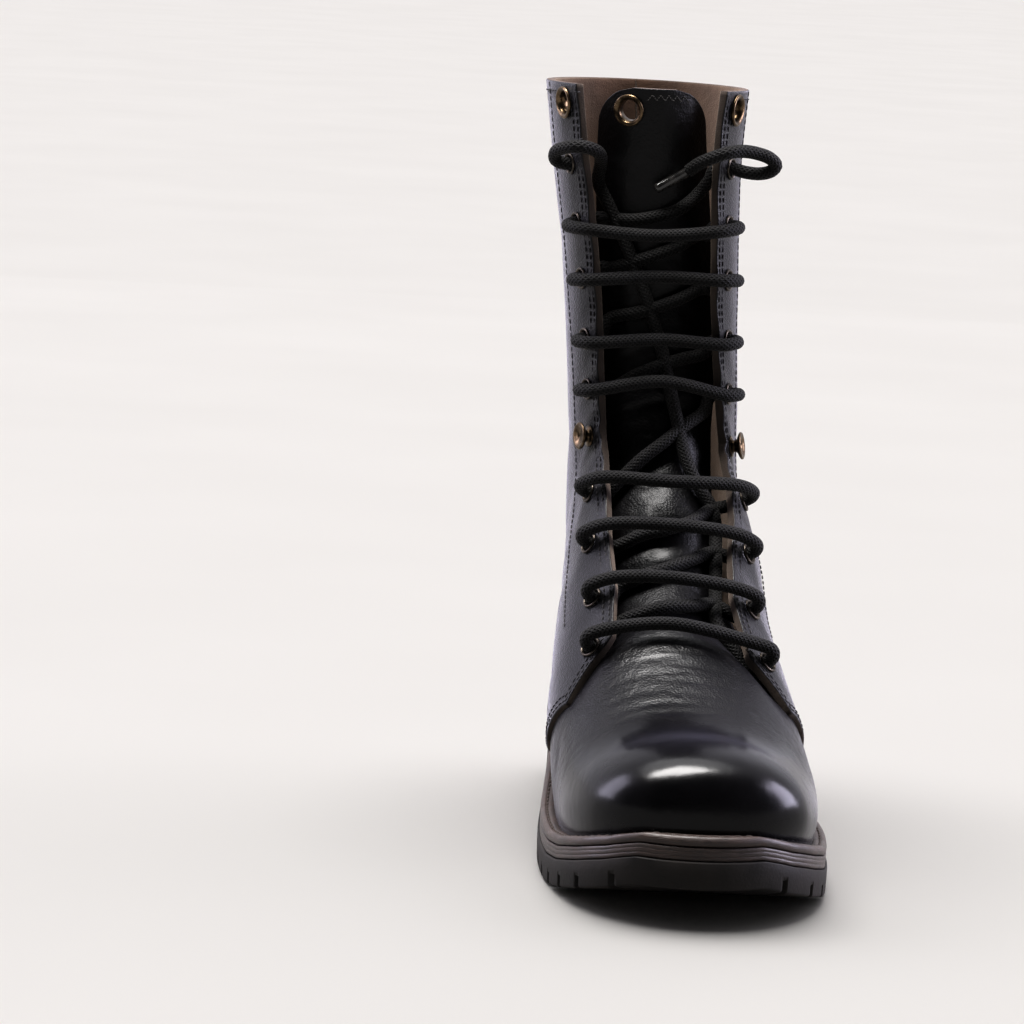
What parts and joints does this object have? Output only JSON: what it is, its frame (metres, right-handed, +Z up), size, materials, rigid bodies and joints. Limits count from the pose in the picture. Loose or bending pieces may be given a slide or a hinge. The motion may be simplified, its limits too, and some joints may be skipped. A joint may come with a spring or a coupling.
{
  "type": "combat boot",
  "caption": "Tall lace-up leather combat boot for the left foot, with open derby facings, bar lacing, stacked welted sole, lugged rubber forefoot and block heel.",
  "frame": {"origin": "on the floor under the middle of the boot's outline, measured without the lace's free ends", "axes": "+Z up, -Y towards the toe, +X towards the outer side of the foot"},
  "size_m": [0.117, 0.3034, 0.306],
  "materials": {
    "upper_leather": "smooth black leather, glossy at the toe, brown suede inside",
    "tongue_leather": "black leather with fine wrinkles, brown suede behind",
    "insole_leather": "matt brown leather",
    "welt_leather": "waxed dark brown leather edge",
    "sole_leather": "stacked dark brown leather edge",
    "sole_rubber": "matt black rubber with moulded lugs",
    "lace_cord": "round braided black cord, slightly waxed",
    "aglet_film": "dark plastic film",
    "eyelet_metal": "dark rolled metal",
    "brass": "antique brass"
  },
  "bodies": {
    "root": {"outsole": "sole_rubber", "heel": "sole_rubber", "midsole": "sole_leather", "welt": "welt_leather", "insole": "insole_leather", "upper": "upper_leather", "tongue": "tongue_leather", "eyelet_inner_1": "eyelet_metal", "eyelet_inner_2": "eyelet_metal", "eyelet_inner_3": "eyelet_metal", "eyelet_inner_4": "eyelet_metal", "eyelet_inner_5": "eyelet_metal", "eyelet_inner_6": "eyelet_metal", "eyelet_inner_7": "eyelet_metal", "eyelet_inner_8": "eyelet_metal", "eyelet_inner_9": "eyelet_metal", "eyelet_outer_1": "eyelet_metal", "eyelet_outer_2": "eyelet_metal", "eyelet_outer_3": "eyelet_metal", "eyelet_outer_4": "eyelet_metal", "eyelet_outer_5": "eyelet_metal", "eyelet_outer_6": "eyelet_metal", "eyelet_outer_7": "eyelet_metal", "eyelet_outer_8": "eyelet_metal", "eyelet_outer_9": "eyelet_metal", "collar_grommet_inner": "brass", "collar_grommet_outer": "brass", "tongue_grommet": "brass", "stud_inner": "brass", "stud_outer": "brass", "lace_bar_1": "lace_cord", "lace_bar_2": "lace_cord", "lace_bar_3": "lace_cord", "lace_bar_4": "lace_cord", "lace_bar_5": "lace_cord", "lace_bar_6": "lace_cord", "lace_bar_7": "lace_cord", "lace_bar_8": "lace_cord", "lace_inside": "lace_cord", "lace_loop_inner": "lace_cord", "lace_loop_outer": "lace_cord", "lace_aglet": "aglet_film"}
  },
  "joints": []
}
